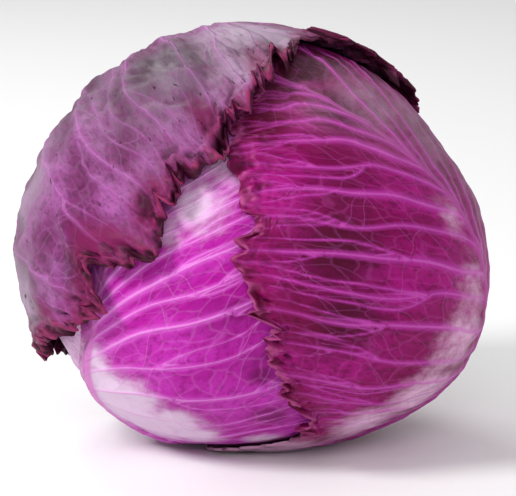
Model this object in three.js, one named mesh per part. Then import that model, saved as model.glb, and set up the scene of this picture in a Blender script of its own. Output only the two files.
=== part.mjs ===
// A head of red cabbage, lying on its cut stalk: the stalk, the tight inner head, and five outer
// leaves that wrap it one over another. Millimetres, +Z up, the stalk's cut face on z = 0, and the
// side that shows most of the leaves' edges towards -Y.
//
// Every surface is a distance from the middle of the head along a direction. A direction is written
// as [azimuth, elevation] in degrees: azimuth 0 looks at -Y, 90 at +X, and elevation 90 at +Z.

import * as THREE from "three";
import { mergeVertices } from "three/addons/utils/BufferGeometryUtils.js";

const CENTRE_HEIGHT = 69;
const CENTRE_BACK = -0.8;
const HALF_DEPTH = 72;
const FRONT_LEAN = 12;
// The packed head's outline as seen from the front, a radius every 30 degrees from the right side up.
const FRONT_OUTLINE = [72.9, 65.3, 63.8, 63.9, 66.4, 68.7, 72.4, 71.5, 70.1, 65.8, 69.1, 76.8];

const STALK_ELEVATION = -72;
const STALK_SPREAD = 11;
const STALK_FACE_ANGLE = 10.8;
const STALK_DEPTH = 12;
const LEAF_FOOT_ANGLE = 12.2;
const WELL_ANGLE = 11.5;

const BLADE_THICKNESS = 1;
const LAYER_PITCH = 1.9;
// The layers up to this one are pressed flat where the head lies, in directions steeper than this.
const FLOOR_LAYER = 3;
const FLOOR_STEEPNESS = -0.3;

const MIDRIB_SHARPNESS = 2.5;
const MIDRIB_NARROWING = 0.7;
const MIDRIB_SINKING = 0.8;
const VEIN_SINKING = 0.6;
const RIB_REACH = 0.2;
const CLOSE_VEINS = 12;
const EDGE_CROWDING = 1.2;

const TEAR_START = 0.8;
const LIFT_START = 0.72;
const LIFT_FOOT = [0.2, 0.35];
const LIFT_MEAN = 0.6;
const LIFT_WAVE = 0.4;
const TIP_START = 0.8;
// The waves of a torn rim: each one's share of the depth, how many go along the leaf, and its shift.
const CRUMPLE_WAVES = [
  { share: 0.5, count: 5.3, shift: 1 },
  { share: 0.3, count: 9.1, shift: 1.7 },
  { share: 0.2, count: 14.2, shift: 2.9 },
];
const CRUMPLE_LAYER_SHIFT = 2.1;
const CRUMPLE_SIDE_SHIFT = 0.9;
const RIM_STEPS = 60;
const COVERED_MARGIN = 2.5;
const COVERED_EASE = 4.5;

const INNER_FOLDS = 3;
const INNER_FOLD_DEPTH = 1.2;
const FOLD_TWIST = 0.35;
const SECTORS_IN_FOLD = 9;
const INNER_RINGS = 14;
const WELL_WALL = 0.2;
const STALK_SECTORS = 24;
const STALK_BANDS = 2;
const STALK_CLEARANCE = 0.4;

const RAD = Math.PI / 180;
const DEG = 180 / Math.PI;

// A leaf is three curves from the stalk to the tip: its midrib and its two edges. The points of the
// three go in step, so a line across from the midrib to an edge is one of the leaf's side veins.
const LEAVES = [
  {
    name: "leaf_left",
    layer: 1,
    colour: 0xd9a6cf,
    columns: [7, 7],
    foot: [-110, -160, -60],
    midrib: [[-118, -58], [-116, -42], [-114, -26], [-112, -10], [-108, 8], [-100, 25], [-85, 42], [-55, 56],
      [-25, 64]],
    left: [[-165, -60], [-172, -45], [-170, -28], [-165, -10], [-158, 8], [-148, 25], [-130, 42], [-100, 58],
      [-50, 68]],
    right: [[-60, -60], [-45, -45], [-38, -28], [-33, -10], [-30, 8], [-28, 25], [-22, 42], [-12, 54],
      [-10, 62]],
    rib: { height: 2.4, width: 8 },
    vein: 0.8,
    lift: [0.6, 0.3],
    tipLift: 0,
    ragged: [0.02, 0.01],
    notches: [],
  },
  {
    name: "leaf_back",
    layer: 2,
    colour: 0xa2409a,
    columns: [7, 7],
    foot: [165, 100, 215],
    midrib: [[165, -50], [163, -32], [162, -14], [160, 4], [156, 22], [148, 40], [130, 55], [80, 65]],
    left: [[116, -56], [111, -36], [110, -16], [112, 2], [112, 18], [112, 34], [106, 47], [70, 60]],
    right: [[210, -52], [220, -34], [222, -16], [220, 2], [215, 18], [205, 36], [190, 54], [110, 72]],
    rib: { height: 2.8, width: 9 },
    vein: 0.9,
    lift: [0.5, 1.2],
    tipLift: 0,
    ragged: [0.02, 0.03],
    notches: [],
  },
  {
    name: "leaf_front",
    layer: 2,
    colour: 0xb8369f,
    columns: [3, 10],
    foot: [-50, -85, -5],
    midrib: [[-62, -66], [-71, -56], [-70, -45], [-59, -32], [-49, -20], [-44, -10], [-40, 0], [-36, 12],
      [-31, 26], [-22, 40], [-8, 54], [0, 62]],
    left: [[-78, -68], [-84, -58], [-78, -46], [-65, -33], [-54, -21], [-49, -10], [-47, 2], [-45, 15],
      [-42, 30], [-34, 46], [-15, 58], [-4, 64]],
    right: [[5, -70], [22, -57], [32, -40], [31, -18], [26, 8], [22, 20], [18, 30], [14, 38], [11, 46],
      [9, 52], [6, 58], [4, 62]],
    rib: { height: 2.6, width: 9 },
    vein: 0.9,
    lift: [0.4, 0.4],
    tipLift: 0,
    ragged: [0.05, 0.01],
    notches: [],
  },
  {
    name: "leaf_right",
    layer: 3,
    colour: 0x9a2a7c,
    columns: [12, 9],
    foot: [55, 0, 115],
    midrib: [[75, -66], [70, -54], [74, -44], [79, -35], [82, -27], [79, -15], [72, -1], [64, 14], [52, 30],
      [34, 46], [14, 58], [-30, 72]],
    left: [[-100, -76], [-30, -69], [20, -54], [11, -36], [6, -22], [0, -4], [-6, 9], [-4, 22], [-7, 34],
      [-4, 45], [0, 55], [-40, 66]],
    right: [[120, -62], [128, -50], [135, -40], [140, -30], [143, -20], [144, -8], [142, 4], [138, 18],
      [134, 34], [134, 48], [140, 62], [-170, 78]],
    rib: { height: 2.2, width: 8 },
    vein: 1.1,
    lift: [1.2, 0.3],
    tipLift: 0,
    ragged: [0.035, 0.01],
    notches: [{ side: 0, station: 7.45, share: 0.1, width: 0.3 }],
  },
  {
    name: "leaf_top",
    layer: 4,
    colour: 0x7d5b80,
    columns: [12, 14],
    foot: [-150, -200, -115],
    midrib: [[-150, -52], [-146, -28], [-140, -8], [-137, 8], [-135, 18], [-134, 27], [-133, 36], [-133, 46],
      [-133, 57], [-132, 70], [-120, 83], [50, 74]],
    left: [[158, -54], [148, -36], [140, -19], [134, -5], [129, 8], [125, 20], [118, 31], [108, 41],
      [102, 50], [104, 59], [98, 67], [70, 71]],
    right: [[-134, -57], [-122, -43], [-98, -31], [-61, -18], [-38, -8], [-31, 5], [-21, 13], [-16, 25],
      [-7, 34], [0, 44], [9, 54], [28, 67]],
    rib: { height: 2.6, width: 9 },
    vein: 0.9,
    lift: [2.2, 4],
    tipLift: 4.5,
    ragged: [0.03, 0.04],
    notches: [{ side: 1, station: 5.7, share: 0.05, width: 0.3 }],
  },
];

// The direction of an azimuth and an elevation.
function aim(azimuth, elevation) {
  const flat = Math.cos(elevation * RAD);
  return new THREE.Vector3(
    flat * Math.sin(azimuth * RAD),
    -flat * Math.cos(azimuth * RAD),
    Math.sin(elevation * RAD),
  );
}

const CENTRE = new THREE.Vector3(0, CENTRE_BACK, CENTRE_HEIGHT);
const RIGHT = new THREE.Vector3(1, 0, 0);
const AWAY = new THREE.Vector3(0, Math.cos(FRONT_LEAN * RAD), -Math.sin(FRONT_LEAN * RAD));
const UPWARD = new THREE.Vector3(0, Math.sin(FRONT_LEAN * RAD), Math.cos(FRONT_LEAN * RAD));
const STALK_AXIS = aim(180, STALK_ELEVATION);
const STALK_FRONT = new THREE.Vector3().crossVectors(STALK_AXIS, RIGHT).normalize();

// The direction on a ring round the stalk, turned from the stalk's front side towards +X.
function roundStalk(angle, turn) {
  const sideways = STALK_FRONT.clone()
    .multiplyScalar(Math.cos(turn * RAD))
    .addScaledVector(RIGHT, Math.sin(turn * RAD));
  return STALK_AXIS.clone()
    .multiplyScalar(Math.cos(angle * RAD))
    .addScaledVector(sideways, Math.sin(angle * RAD));
}

function smoothStep(low, high, value) {
  return THREE.MathUtils.smoothstep(value, low, high);
}

// The outline's radius at an angle, on a smooth closed curve through the twelve given ones.
function outlineRadius(angle) {
  const count = FRONT_OUTLINE.length;
  const place = ((angle / (2 * Math.PI)) * count + count) % count;
  const first = Math.floor(place);
  const t = place - first;
  const [p0, p1, p2, p3] = [-1, 0, 1, 2].map((k) => FRONT_OUTLINE[(first + k + count) % count]);
  const bend = 2 * p0 - 5 * p1 + 4 * p2 - p3;
  const twist = -p0 + 3 * p1 - 3 * p2 + p3;
  return 0.5 * (2 * p1 + (p2 - p0) * t + bend * t * t + twist * t * t * t);
}

// The packed head's radius: the front outline, rounded off to the half depth towards front and back.
function packedRadius(direction) {
  const depth = direction.dot(AWAY);
  const outline = outlineRadius(Math.atan2(direction.dot(UPWARD), direction.x));
  return 1 / Math.sqrt((1 - depth * depth) / outline ** 2 + depth ** 2 / HALF_DEPTH ** 2);
}

// A layer's outer radius, pressed flat where the head lies on the floor.
function layerRadius(direction, layer, extra) {
  const free = packedRadius(direction) + layer * LAYER_PITCH + extra;
  if (direction.z > FLOOR_STEEPNESS) return free;
  const level = Math.max(0, FLOOR_LAYER - layer) * LAYER_PITCH;
  return Math.min(free, (CENTRE_HEIGHT - level) / -direction.z);
}

// Leaves grow round the stalk, so directions are drawn apart from its axis (side 1) or back (side -1).
function aroundStalk(direction, side) {
  const angle = direction.angleTo(STALK_AXIS) * DEG;
  const moved = Math.sqrt(Math.max(angle * angle + side * STALK_SPREAD * STALK_SPREAD, 1e-4));
  const outward = direction.clone().addScaledVector(STALK_AXIS, -direction.dot(STALK_AXIS)).normalize();
  return STALK_AXIS.clone()
    .multiplyScalar(Math.cos(moved * RAD))
    .addScaledVector(outward, Math.sin(moved * RAD));
}

function leafCurve(footTurn, points) {
  const directions = [roundStalk(LEAF_FOOT_ANGLE, footTurn), ...points.map((p) => aim(...p))];
  return new THREE.CatmullRomCurve3(
    directions.map((d) => aroundStalk(d, -1)),
    false,
    "catmullrom",
  );
}

// Along the great circle between two directions, and past the second where share is over 1.
function between(from, to, share) {
  const angle = from.angleTo(to);
  if (angle < 1e-5) return from.clone();
  return from
    .clone()
    .multiplyScalar(Math.sin((1 - share) * angle) / Math.sin(angle))
    .addScaledVector(to, Math.sin(share * angle) / Math.sin(angle));
}

// Uneven in and out along an edge, between -1 and 1: a leaf's torn and crumpled rim.
function crumple(along, layer, side) {
  const start = CRUMPLE_LAYER_SHIFT * layer + CRUMPLE_SIDE_SHIFT * side;
  const waves = CRUMPLE_WAVES.map(
    ({ share, count, shift }) => share * Math.sin(2 * Math.PI * count * along + shift * start),
  );
  return waves.reduce((sum, wave) => sum + wave);
}

function growLeaf(spec) {
  const leaf = {
    ...spec,
    veins: spec.midrib.length,
    middle: leafCurve(spec.foot[0], spec.midrib),
    edges: [leafCurve(spec.foot[1], spec.left), leafCurve(spec.foot[2], spec.right)],
  };
  // How deep the rim is torn in at a place along it, as a share of the way from the midrib.
  const torn = (along, side) => {
    const cuts = leaf.notches
      .filter((notch) => notch.side === side)
      .map(({ station, share, width }) => share * Math.exp(-(((along * leaf.veins - station) / width) ** 2)));
    return cuts.reduce((sum, cut) => sum - cut, leaf.ragged[side] * crumple(along, leaf.layer, side));
  };
  // The direction at a share of the way along the leaf, and across it from -1 to 1.
  leaf.direction = (along, across) => {
    const side = across < 0 ? 0 : 1;
    const middle = leaf.middle.getPoint(along).normalize();
    const edge = leaf.edges[side].getPoint(along).normalize();
    const tear = torn(along, side) * smoothStep(TEAR_START, 1, Math.abs(across));
    return aroundStalk(between(middle, edge, Math.abs(across) * (1 + tear)).normalize(), 1);
  };
  leaf.halfWidth = (along, side) => {
    const middle = leaf.middle.getPoint(along);
    return middle.angleTo(leaf.edges[side].getPoint(along)) * HALF_DEPTH;
  };
  const up = Array.from({ length: RIM_STEPS }, (_, i) => i / RIM_STEPS);
  const down = up.map((t) => 1 - t);
  const over = [-1, -0.75, -0.5, -0.25, 0, 0.25, 0.5, 0.75];
  leaf.rim = [
    ...up.map((t) => leaf.direction(t, -1)),
    ...over.map((b) => leaf.direction(1, b)),
    ...down.map((t) => leaf.direction(t, 1)),
    ...over.map((b) => leaf.direction(0, -b)),
  ];
  return leaf;
}

// Degrees from a direction to a leaf's rim, below zero where the leaf covers it.
function clearOf(leaf, direction) {
  const { rim } = leaf;
  let nearest = 0;
  rim.forEach((point, i) => {
    if (point.dot(direction) > rim[nearest].dot(direction)) nearest = i;
  });
  const count = rim.length;
  const before = rim[(nearest + count - 1) % count];
  const after = rim[(nearest + 1) % count];
  const side = new THREE.Vector3().crossVectors(before, after).dot(direction);
  return direction.angleTo(rim[nearest]) * DEG * (side < 0 ? -1 : 1);
}

// 1 where a leaf lies open, and 0 under the leaves that wrap it, where its ribs are pressed flat.
function openness(leaf, leaves, direction) {
  const covers = leaves.filter((other) => other.layer > leaf.layer);
  const clear = Math.min(Infinity, ...covers.map((other) => clearOf(other, direction)));
  return smoothStep(COVERED_MARGIN, COVERED_MARGIN + COVERED_EASE, clear);
}

// The midrib, widest and highest at the stalk, and the side veins, which run out towards the edge.
function ribHeight(leaf, along, across) {
  const side = across < 0 ? 0 : 1;
  const fromMiddle = Math.abs(across) * leaf.halfWidth(along, side);
  const width = leaf.rib.width * (1 - MIDRIB_NARROWING * along);
  const crest = leaf.rib.height * (1 - MIDRIB_SINKING * along);
  const midrib = crest * Math.exp(-MIDRIB_SHARPNESS * (fromMiddle / width) ** 2);
  const place = along * leaf.veins;
  const fromVein = Math.abs(place - Math.round(place));
  const isVein = Math.round(place) > 0 && Math.round(place) < leaf.veins;
  const vein = leaf.vein * Math.max(0, 1 - fromVein / RIB_REACH) * (1 - VEIN_SINKING * across * across);
  return Math.max(midrib, isVein ? vein : 0);
}

// How far an edge stands off the leaf below it.
function edgeLift(leaf, along, across) {
  const side = across < 0 ? 0 : 1;
  const nearEdge = smoothStep(LIFT_START, 1, Math.abs(across)) * smoothStep(...LIFT_FOOT, along);
  const waves = LIFT_MEAN + LIFT_WAVE * crumple(along, leaf.layer + 0.5, side);
  return (leaf.lift[side] * nearEdge + leaf.tipLift * smoothStep(TIP_START, 1, along)) * waves;
}

// A leaf's rows follow its side veins: one on each vein, one on either foot of it, and where the
// panels between the veins are wide, one in the middle of each.
function rowPlaces(leaf) {
  const steps = leaf.veins < CLOSE_VEINS ? [-RIB_REACH, 0, RIB_REACH, 0.5] : [-RIB_REACH, 0, RIB_REACH];
  const rows = [0, 0.5 / leaf.veins];
  for (let vein = 1; vein < leaf.veins; vein += 1) {
    rows.push(...steps.map((step) => (vein + step) / leaf.veins));
  }
  return [...rows, 1];
}

function columnPlaces(leaf) {
  const half = (count) =>
    Array.from({ length: count }, (_, i) => 1 - (1 - (i + 1) / count) ** EDGE_CROWDING);
  const left = half(leaf.columns[0]).map((b) => -b);
  return [...left.reverse(), 0, ...half(leaf.columns[1])];
}

function geometryOf(positions, indices) {
  const geometry = new THREE.BufferGeometry();
  const numbers = positions.flatMap((p) => p.toArray());
  geometry.setAttribute("position", new THREE.Float32BufferAttribute(numbers, 3));
  geometry.setIndex(indices);
  geometry.computeVertexNormals();
  return geometry;
}

// A closed skin from two alike grids of points, the outer and the inner one, in rows along the leaf.
function skinGeometry(outer, inner) {
  const rows = outer.length;
  const columns = outer[0].length;
  const half = rows * columns;
  const indices = [];
  const top = (i, j) => i * columns + j;
  const quad = (a, b, c, d) => indices.push(a, b, c, a, c, d);
  for (let i = 0; i < rows - 1; i += 1) {
    for (let j = 0; j < columns - 1; j += 1) {
      const [a, b, c, d] = [top(i, j), top(i, j + 1), top(i + 1, j + 1), top(i + 1, j)];
      quad(a, b, c, d);
      indices.push(half + a, half + c, half + b, half + a, half + d, half + c);
    }
  }
  const wall = (a, b) => quad(b, a, half + a, half + b);
  for (let j = 0; j < columns - 1; j += 1) {
    wall(top(0, j), top(0, j + 1));
    wall(top(rows - 1, j + 1), top(rows - 1, j));
  }
  for (let i = 0; i < rows - 1; i += 1) {
    wall(top(i + 1, 0), top(i, 0));
    wall(top(i, columns - 1), top(i + 1, columns - 1));
  }
  return geometryOf([...outer.flat(), ...inner.flat()], indices);
}

function placed(direction, radius) {
  return direction.clone().multiplyScalar(radius).add(CENTRE);
}

function leafGeometry(leaf, leaves) {
  const outer = [];
  const inner = [];
  for (const along of rowPlaces(leaf)) {
    const directions = columnPlaces(leaf).map((across) => [leaf.direction(along, across), across]);
    const raised = directions.map(([direction, across]) => {
      const open = openness(leaf, leaves, direction);
      const lift = open * edgeLift(leaf, along, across);
      const rib = open * ribHeight(leaf, along, across);
      return { direction, lift, rib };
    });
    outer.push(raised.map((r) => placed(r.direction, layerRadius(r.direction, leaf.layer, r.lift + r.rib))));
    inner.push(
      raised.map((r) =>
        placed(r.direction, layerRadius(r.direction, leaf.layer, r.lift) - BLADE_THICKNESS),
      ),
    );
  }
  return skinGeometry(outer, inner);
}

// The tight inner leaves in one body. Each laps over the next in a shallow step from stalk to crown,
// and a well at the foot of the head takes the stalk.
function innerHeadGeometry() {
  const angles = [STALK_SPREAD / 2, WELL_ANGLE - WELL_WALL, WELL_ANGLE];
  const spacing = (180 - WELL_ANGLE) / (INNER_RINGS + 1);
  for (let k = 1; k <= INNER_RINGS; k += 1) angles.push(WELL_ANGLE + k * spacing);
  const sectors = INNER_FOLDS * SECTORS_IN_FOLD;
  const point = (angle, sector) => {
    const turn = (sector * 360) / sectors + FOLD_TWIST * angle;
    const direction = roundStalk(angle, turn);
    const lapped = ((sector % SECTORS_IN_FOLD) / SECTORS_IN_FOLD) * Math.sin(angle * RAD);
    const depth = angle < WELL_ANGLE ? STALK_DEPTH : INNER_FOLD_DEPTH * lapped;
    return placed(direction, layerRadius(direction, 0, 0) - depth);
  };
  const positions = [point(0, 0)];
  for (const angle of angles) {
    for (let sector = 0; sector < sectors; sector += 1) positions.push(point(angle, sector));
  }
  positions.push(point(180, 0));
  const last = positions.length - 1;
  const at = (ring, sector) => 1 + ring * sectors + (sector % sectors);
  const indices = [];
  for (let j = 0; j < sectors; j += 1) {
    indices.push(0, at(0, j + 1), at(0, j));
    indices.push(last, at(angles.length - 1, j), at(angles.length - 1, j + 1));
    for (let ring = 0; ring < angles.length - 1; ring += 1) {
      const [a, b, c, d] = [at(ring, j), at(ring, j + 1), at(ring + 1, j + 1), at(ring + 1, j)];
      indices.push(a, b, c, a, c, d);
    }
  }
  return geometryOf(positions, indices);
}

// The stalk is cut off level with the head's lowest leaf, so it is a plug with a slanting flat face.
function stalkGeometry() {
  const plug = new THREE.CylinderGeometry(1, 1, 1, STALK_SECTORS, STALK_BANDS);
  plug.deleteAttribute("normal");
  plug.deleteAttribute("uv");
  const geometry = mergeVertices(plug);
  const position = geometry.getAttribute("position");
  const vertex = new THREE.Vector3();
  for (let i = 0; i < position.count; i += 1) {
    vertex.fromBufferAttribute(position, i);
    const turn = Math.atan2(vertex.x, vertex.z) * DEG;
    const direction = roundStalk(STALK_FACE_ANGLE * Math.hypot(vertex.x, vertex.z), turn);
    const root = packedRadius(direction) - STALK_DEPTH + STALK_CLEARANCE;
    const face = CENTRE_HEIGHT / -direction.z;
    const moved = placed(direction, THREE.MathUtils.lerp(face, root, vertex.y + 0.5));
    position.setXYZ(i, moved.x, moved.y, moved.z);
  }
  geometry.computeVertexNormals();
  return geometry;
}

function piece(name, geometry, colour, roughness) {
  const material = new THREE.MeshStandardMaterial({ color: colour, roughness, metalness: 0 });
  const mesh = new THREE.Mesh(geometry, material);
  mesh.name = name;
  return mesh;
}

const head = new THREE.Group();
const leaves = LEAVES.map(growLeaf);
head.add(piece("stalk", stalkGeometry(), 0xe6dcc8, 0.75));
head.add(piece("inner_head", innerHeadGeometry(), 0xc878b8, 0.55));
for (const leaf of leaves) {
  head.add(piece(leaf.name, leafGeometry(leaf, leaves), leaf.colour, 0.5));
}

export default head;
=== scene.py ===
# %% [markdown]
# A head of red cabbage. Outside it is a few large leaves wrapped over each other round a cut stalk.
# The imported CAD model gives the solids at their real size, and this lesson dresses each of them:
# a grid is laid over each leaf, bent onto the head, raised along its ribs and veins, and torn at its
# rim. The CAD model is loaded first, and each of its parts is hidden once it is dressed.

import math
from functools import partial

import bpy
import numpy as np
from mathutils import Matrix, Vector, noise
from mathutils.kdtree import KDTree


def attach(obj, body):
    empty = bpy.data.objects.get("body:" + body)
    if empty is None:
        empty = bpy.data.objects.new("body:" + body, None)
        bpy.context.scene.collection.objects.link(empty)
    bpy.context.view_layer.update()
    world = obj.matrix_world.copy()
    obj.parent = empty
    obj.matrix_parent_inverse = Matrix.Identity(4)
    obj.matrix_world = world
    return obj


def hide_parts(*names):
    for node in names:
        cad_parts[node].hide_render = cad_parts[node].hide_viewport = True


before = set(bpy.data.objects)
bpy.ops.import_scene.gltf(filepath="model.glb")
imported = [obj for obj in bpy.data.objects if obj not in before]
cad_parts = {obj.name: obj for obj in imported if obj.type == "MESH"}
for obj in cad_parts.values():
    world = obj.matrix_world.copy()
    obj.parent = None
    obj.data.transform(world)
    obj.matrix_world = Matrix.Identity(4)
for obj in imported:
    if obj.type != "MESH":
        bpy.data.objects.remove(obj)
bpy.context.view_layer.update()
MM = 0.001
print("nodes:", sorted(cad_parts))

# %% [markdown]
# A direction from the middle of the head is an azimuth and an elevation, as on a globe. Azimuth 0
# looks at the viewer, 90 to the right. The middle stands 69 mm above the table.

# %% directions on the head
CENTRE = np.array([0.0, -0.8, 69.0])
FRONT_LEAN = 12.0


def aim(azimuth, elevation):
    """The unit vector of an azimuth and an elevation in degrees."""
    a, e = np.radians(azimuth), np.radians(elevation)
    return np.array([np.cos(e) * np.sin(a), -np.cos(e) * np.cos(a), np.sin(e)])


def unit(v):
    return v / np.linalg.norm(v, axis=-1, keepdims=True)


def smooth(low, high, value):
    """0 below low, 1 above high, and a smooth rise between."""
    t = np.clip((value - low) / (high - low), 0, 1)
    return t * t * (3 - 2 * t)


LEAN = math.radians(FRONT_LEAN)
AWAY = np.array([0, math.cos(LEAN), -math.sin(LEAN)])
UPWARD = np.array([0, math.sin(LEAN), math.cos(LEAN)])
STALK_AXIS = aim(180, -72)
SIDEWAYS = np.array([1.0, 0, 0])
STALK_FRONT = unit(np.cross(STALK_AXIS, SIDEWAYS))


def rays_from_stalk(angle, turn):
    """Directions at angles from the stalk's axis, turned round it."""
    a, t = np.radians(angle)[..., None], np.radians(turn)[..., None]
    return np.cos(a) * STALK_AXIS + np.sin(a) * (np.cos(t) * STALK_FRONT + np.sin(t) * SIDEWAYS)


print("the stalk points to", STALK_AXIS.round(2))

# %% [markdown]
# The photograph was taken from a little above the head, from far enough away that its sides look
# almost parallel. A long lens at 1.3 m does the same. The picture's middle isn't quite the head's
# middle, so the camera aims a little beside it instead of being shifted.

# %% camera
PHOTO_WIDTH, PHOTO_HEIGHT = 516, 496
MIDDLE_PIXEL = (253, 240)
PIXELS_PER_MM = 2.94
CAMERA_AWAY = 1300.0
SENSOR = 36.0

side_mm = (PHOTO_WIDTH / 2 - MIDDLE_PIXEL[0]) / PIXELS_PER_MM
down_mm = (PHOTO_HEIGHT / 2 - MIDDLE_PIXEL[1]) / PIXELS_PER_MM
target = CENTRE + side_mm * SIDEWAYS - down_mm * UPWARD
camera_data = bpy.data.cameras.new("camera")
camera_data.sensor_width = SENSOR
camera_data.lens = SENSOR * CAMERA_AWAY * PIXELS_PER_MM / PHOTO_WIDTH
camera = bpy.data.objects.new("camera", camera_data)
bpy.context.collection.objects.link(camera)
camera.location = Vector((target - CAMERA_AWAY * AWAY) * MM)
camera.rotation_euler = (math.radians(90 - FRONT_LEAN), 0, 0)
bpy.context.scene.camera = camera
print("lens", round(camera_data.lens), "mm")

# %% [markdown]
# The studio is a pale table under soft light: a broad light high at the left, weaker ones in front,
# at the right and behind, and a pale surrounding. Cabbage leaves are waxed, so a broad source gives
# long soft gleams along the ribs, where a small lamp would give hard spots.

# %% studio
SURROUND_STRENGTH = 0.53
TABLE_COLOUR, TABLE_ROUGHNESS = "#EDEDED", 0.6
TABLE_SIZE, TABLE_DROP = 6, 0.0003


def to_linear(hex_colour, alpha=1.0):
    """An sRGB hex colour as the linear values that a shader takes."""
    parts = [int(hex_colour[i:i + 2], 16) / 255 for i in (1, 3, 5)]
    return tuple(p / 12.92 if p <= 0.04045 else ((p + 0.055) / 1.055) ** 2.4 for p in parts) + (alpha,)


def add_node(tree, kind, inputs=(), out=0, **settings):
    """Adds a shader node, fills or links its inputs, and gives back one of its outputs."""
    node = tree.nodes.new("ShaderNode" + kind)
    for name, value in settings.items():
        setattr(node, name, value)
    for key, value in inputs.items() if isinstance(inputs, dict) else enumerate(inputs):
        if isinstance(value, bpy.types.NodeSocket):
            tree.links.new(value, node.inputs[key])
        else:
            node.inputs[key].default_value = to_linear(value) if isinstance(value, str) else value
    return node.outputs[out]


def area_light(name, place, size, power, colour="#FFFFFF"):
    data = bpy.data.lights.new(name, "AREA")
    data.shape, data.size, data.energy = "DISK", size, power
    data.color = to_linear(colour)[:3]
    light = bpy.data.objects.new(name, data)
    light.location = place
    light.rotation_euler = (Vector(CENTRE * MM) - Vector(place)).to_track_quat("-Z", "Y").to_euler()
    bpy.context.collection.objects.link(light)


area_light("key", (-0.75, -0.5, 0.75), 0.35, 11.5)
area_light("front", (0.1, -1.1, 0.7), 0.5, 4)
area_light("fill", (0.8, -0.6, 0.5), 0.6, 1.5)
area_light("back", (-0.4, 0.8, 0.9), 0.6, 5)

world = bpy.data.worlds.new("surround")
bpy.context.scene.world = world
world.use_nodes = True
world.node_tree.nodes["Background"].inputs["Color"].default_value = to_linear("#FFFFFF")
world.node_tree.nodes["Background"].inputs["Strength"].default_value = SURROUND_STRENGTH
bpy.context.scene.view_settings.view_transform = "Standard"

bpy.ops.object.select_all(action="DESELECT")
bpy.ops.mesh.primitive_plane_add(size=TABLE_SIZE, location=(0, 0, -TABLE_DROP))
floor = bpy.context.object
floor.name = "table"
table = bpy.data.materials.new("white table")
table.use_nodes = True
table_shader = table.node_tree.nodes["Principled BSDF"]
table_shader.inputs["Base Color"].default_value = to_linear(TABLE_COLOUR)
table_shader.inputs["Roughness"].default_value = TABLE_ROUGHNESS
floor.data.materials.append(table)
print("lights:", sorted(data.name for data in bpy.data.lights))

# %% [markdown]
# The head isn't a ball: it is broad low down on the right and at the left, and lower at the crown.
# Its outline from the front is twelve radii, joined by a smooth curve. Every leaf lies on that form,
# one layer over another, and where the head meets the table all of them are pressed flat.

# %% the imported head's form
FRONT_OUTLINE = np.array([72.9, 65.3, 63.8, 63.9, 66.4, 68.7, 72.4, 71.5, 70.1, 65.8, 69.1, 76.8])
HALF_DEPTH = 72.0
LAYER_PITCH = 1.9
FLOOR_LAYER, FLOOR_STEEPNESS = 3, -0.3


def outline_radius(angle):
    count = len(FRONT_OUTLINE)
    place = (angle / (2 * np.pi) * count) % count
    first = np.floor(place).astype(int)
    t = place - first
    p0, p1, p2, p3 = (FRONT_OUTLINE[(first + k) % count] for k in (-1, 0, 1, 2))
    bend, twist = 2 * p0 - 5 * p1 + 4 * p2 - p3, -p0 + 3 * p1 - 3 * p2 + p3
    return 0.5 * (2 * p1 + (p2 - p0) * t + bend * t**2 + twist * t**3)


def packed_radius(d):
    depth = d @ AWAY
    outline = outline_radius(np.arctan2(d @ UPWARD, d[..., 0]))
    return 1 / np.sqrt((1 - depth**2) / outline**2 + depth**2 / HALF_DEPTH**2)


def layer_radius(d, layer, extra):
    free = packed_radius(d) + layer * LAYER_PITCH + extra
    level = max(0, FLOOR_LAYER - layer) * LAYER_PITCH
    pressed = (CENTRE[2] - level) / np.maximum(-d[..., 2], 1e-6)
    return np.where(d[..., 2] < FLOOR_STEEPNESS, np.minimum(free, pressed), free)


print("the outline's radii are", FRONT_OUTLINE.min(), "to", FRONT_OUTLINE.max(), "mm")

# %% [markdown]
# A leaf is three curves that start at the stalk: the midrib and the two edges. Their points go in
# step, so a line across the leaf follows one of its side veins. The directions are kept clear of the
# stalk by drawing them away from its axis.

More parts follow.
